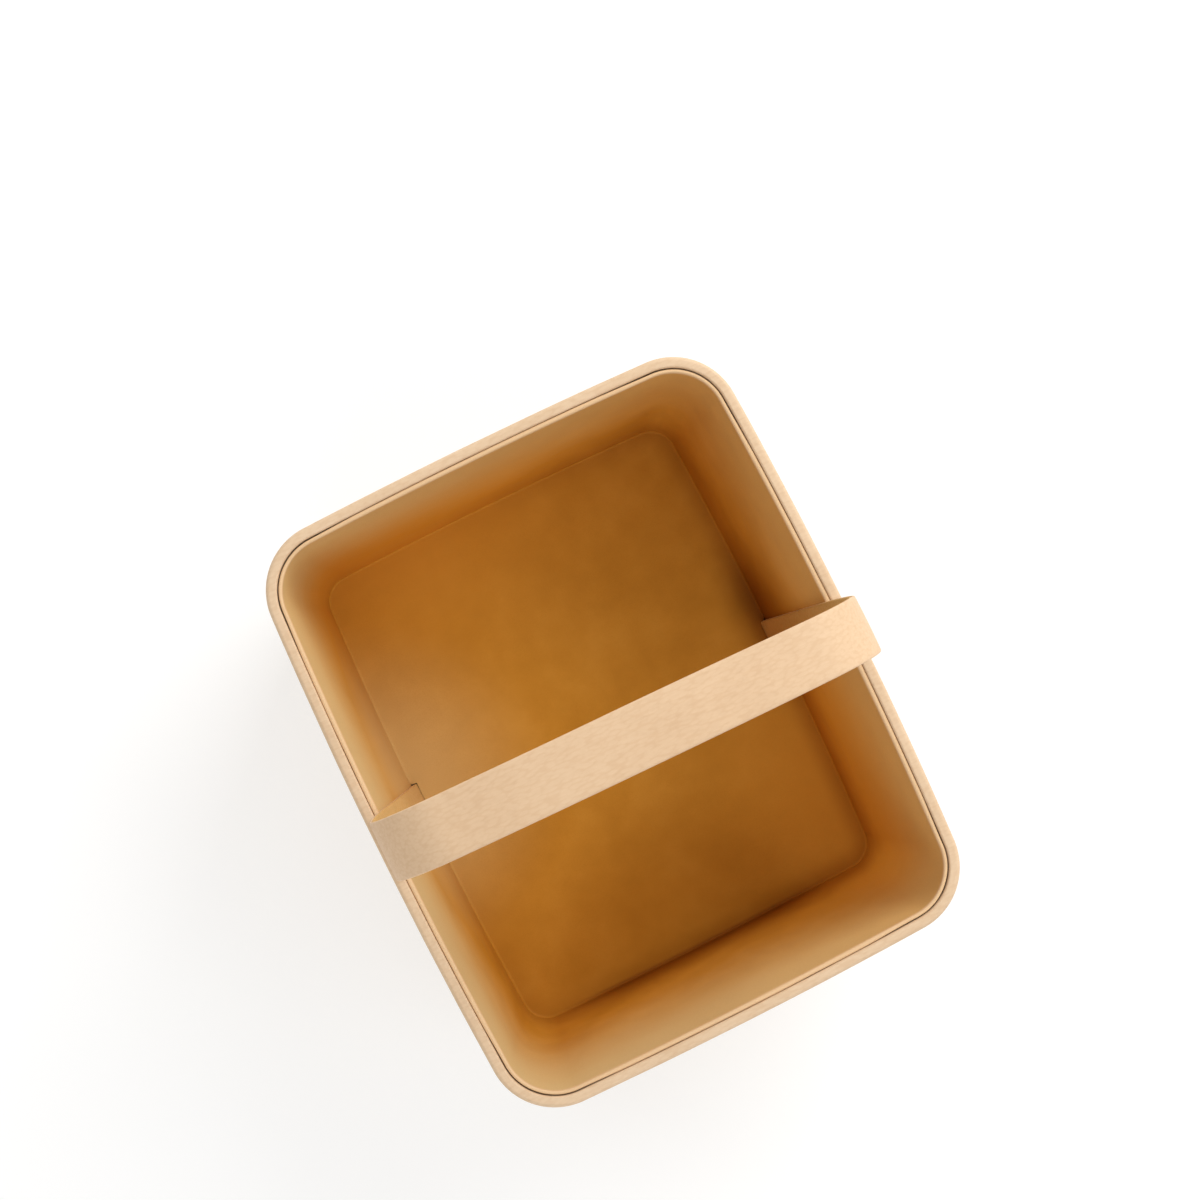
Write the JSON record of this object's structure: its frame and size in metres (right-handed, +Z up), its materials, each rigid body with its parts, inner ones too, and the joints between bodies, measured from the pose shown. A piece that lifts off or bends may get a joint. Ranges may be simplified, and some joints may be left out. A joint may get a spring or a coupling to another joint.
{
  "type": "storage bin",
  "caption": "Leather-covered rectangular storage bin with rounded corners, walls that taper in to the base, a turned rim with an inner lip, and a fixed strap handle over the middle.",
  "frame": {"origin": "middle of the underside, at the ground", "axes": "+Z up; the long sides and the bin's length run along Y; the handle crosses the bin along X"},
  "size_m": [0.2496, 0.3026, 0.265],
  "materials": {
    "cover_leather": "natural tan, fine grain, low sheen",
    "liner_leather": "warmer tan, smooth matt",
    "strap_leather": "natural tan, fine grain, low sheen",
    "underside_leather": "tan split, matt",
    "fibreboard": "pressed fibre, raw",
    "card": "grey-brown card, raw",
    "spring_steel": "rolled",
    "rivet_steel": "plated"
  },
  "bodies": {
    "root": {"outer_cover": "cover_leather", "wall_board": "fibreboard", "wall_board_splice": "fibreboard", "liner_board": "card", "liner_leather": "liner_leather", "base_board": "fibreboard", "base_filler": "card", "underside_cover": "underside_leather", "floor_board": "fibreboard", "floor_leather": "liner_leather", "handle_outer_leather": "strap_leather", "handle_strip": "spring_steel", "handle_inner_leather": "strap_leather", "handle_rivets": "rivet_steel"}
  },
  "joints": []
}
